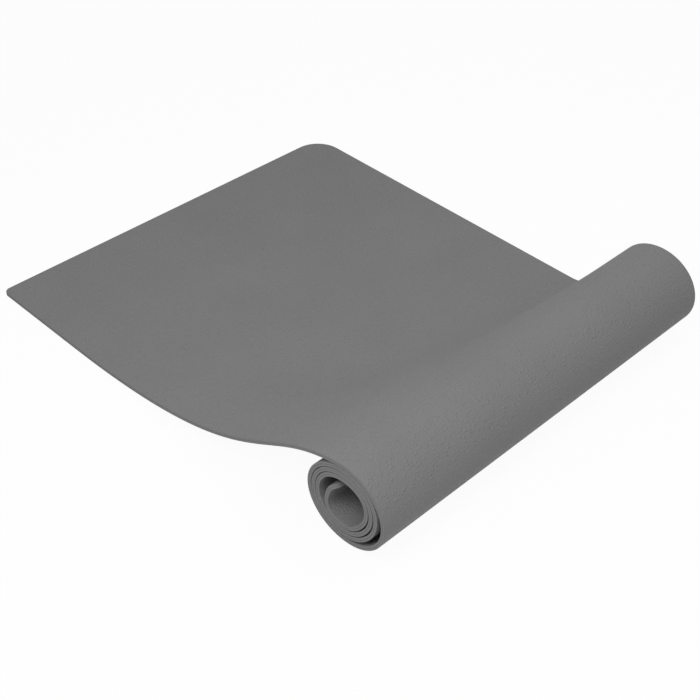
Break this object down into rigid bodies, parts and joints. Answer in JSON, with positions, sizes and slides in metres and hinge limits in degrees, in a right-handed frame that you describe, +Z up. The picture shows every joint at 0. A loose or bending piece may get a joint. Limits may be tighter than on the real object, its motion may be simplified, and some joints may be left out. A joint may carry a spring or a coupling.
{
  "type": "yoga mat",
  "caption": "Grey PVC foam yoga mat, half unrolled: one end lies flat with rounded corners, a soft ramp climbs from it, and the rest is wound into a loose roll",
  "frame": {"origin": "the middle of the part's bounding box, on the floor that it lies on", "axes": "+X runs along the mat from its free end to the roll, +Z is up, and -Y is the side on which the ramp leaves the floor first"},
  "size_m": [0.749, 0.6304, 0.1201],
  "materials": {
    "embossed_foam": "matte closed-cell PVC foam, cast with a fine raised non-slip grain",
    "scrim_net": "open-weave polyester net, sealed between the foam layers",
    "backing_foam": "matte closed-cell PVC foam, cast with the same fine grain on its underside"
  },
  "bodies": {
    "root": {"upper_foam_layer": "embossed_foam", "reinforcing_scrim": "scrim_net", "lower_foam_layer": "backing_foam"}
  },
  "joints": []
}
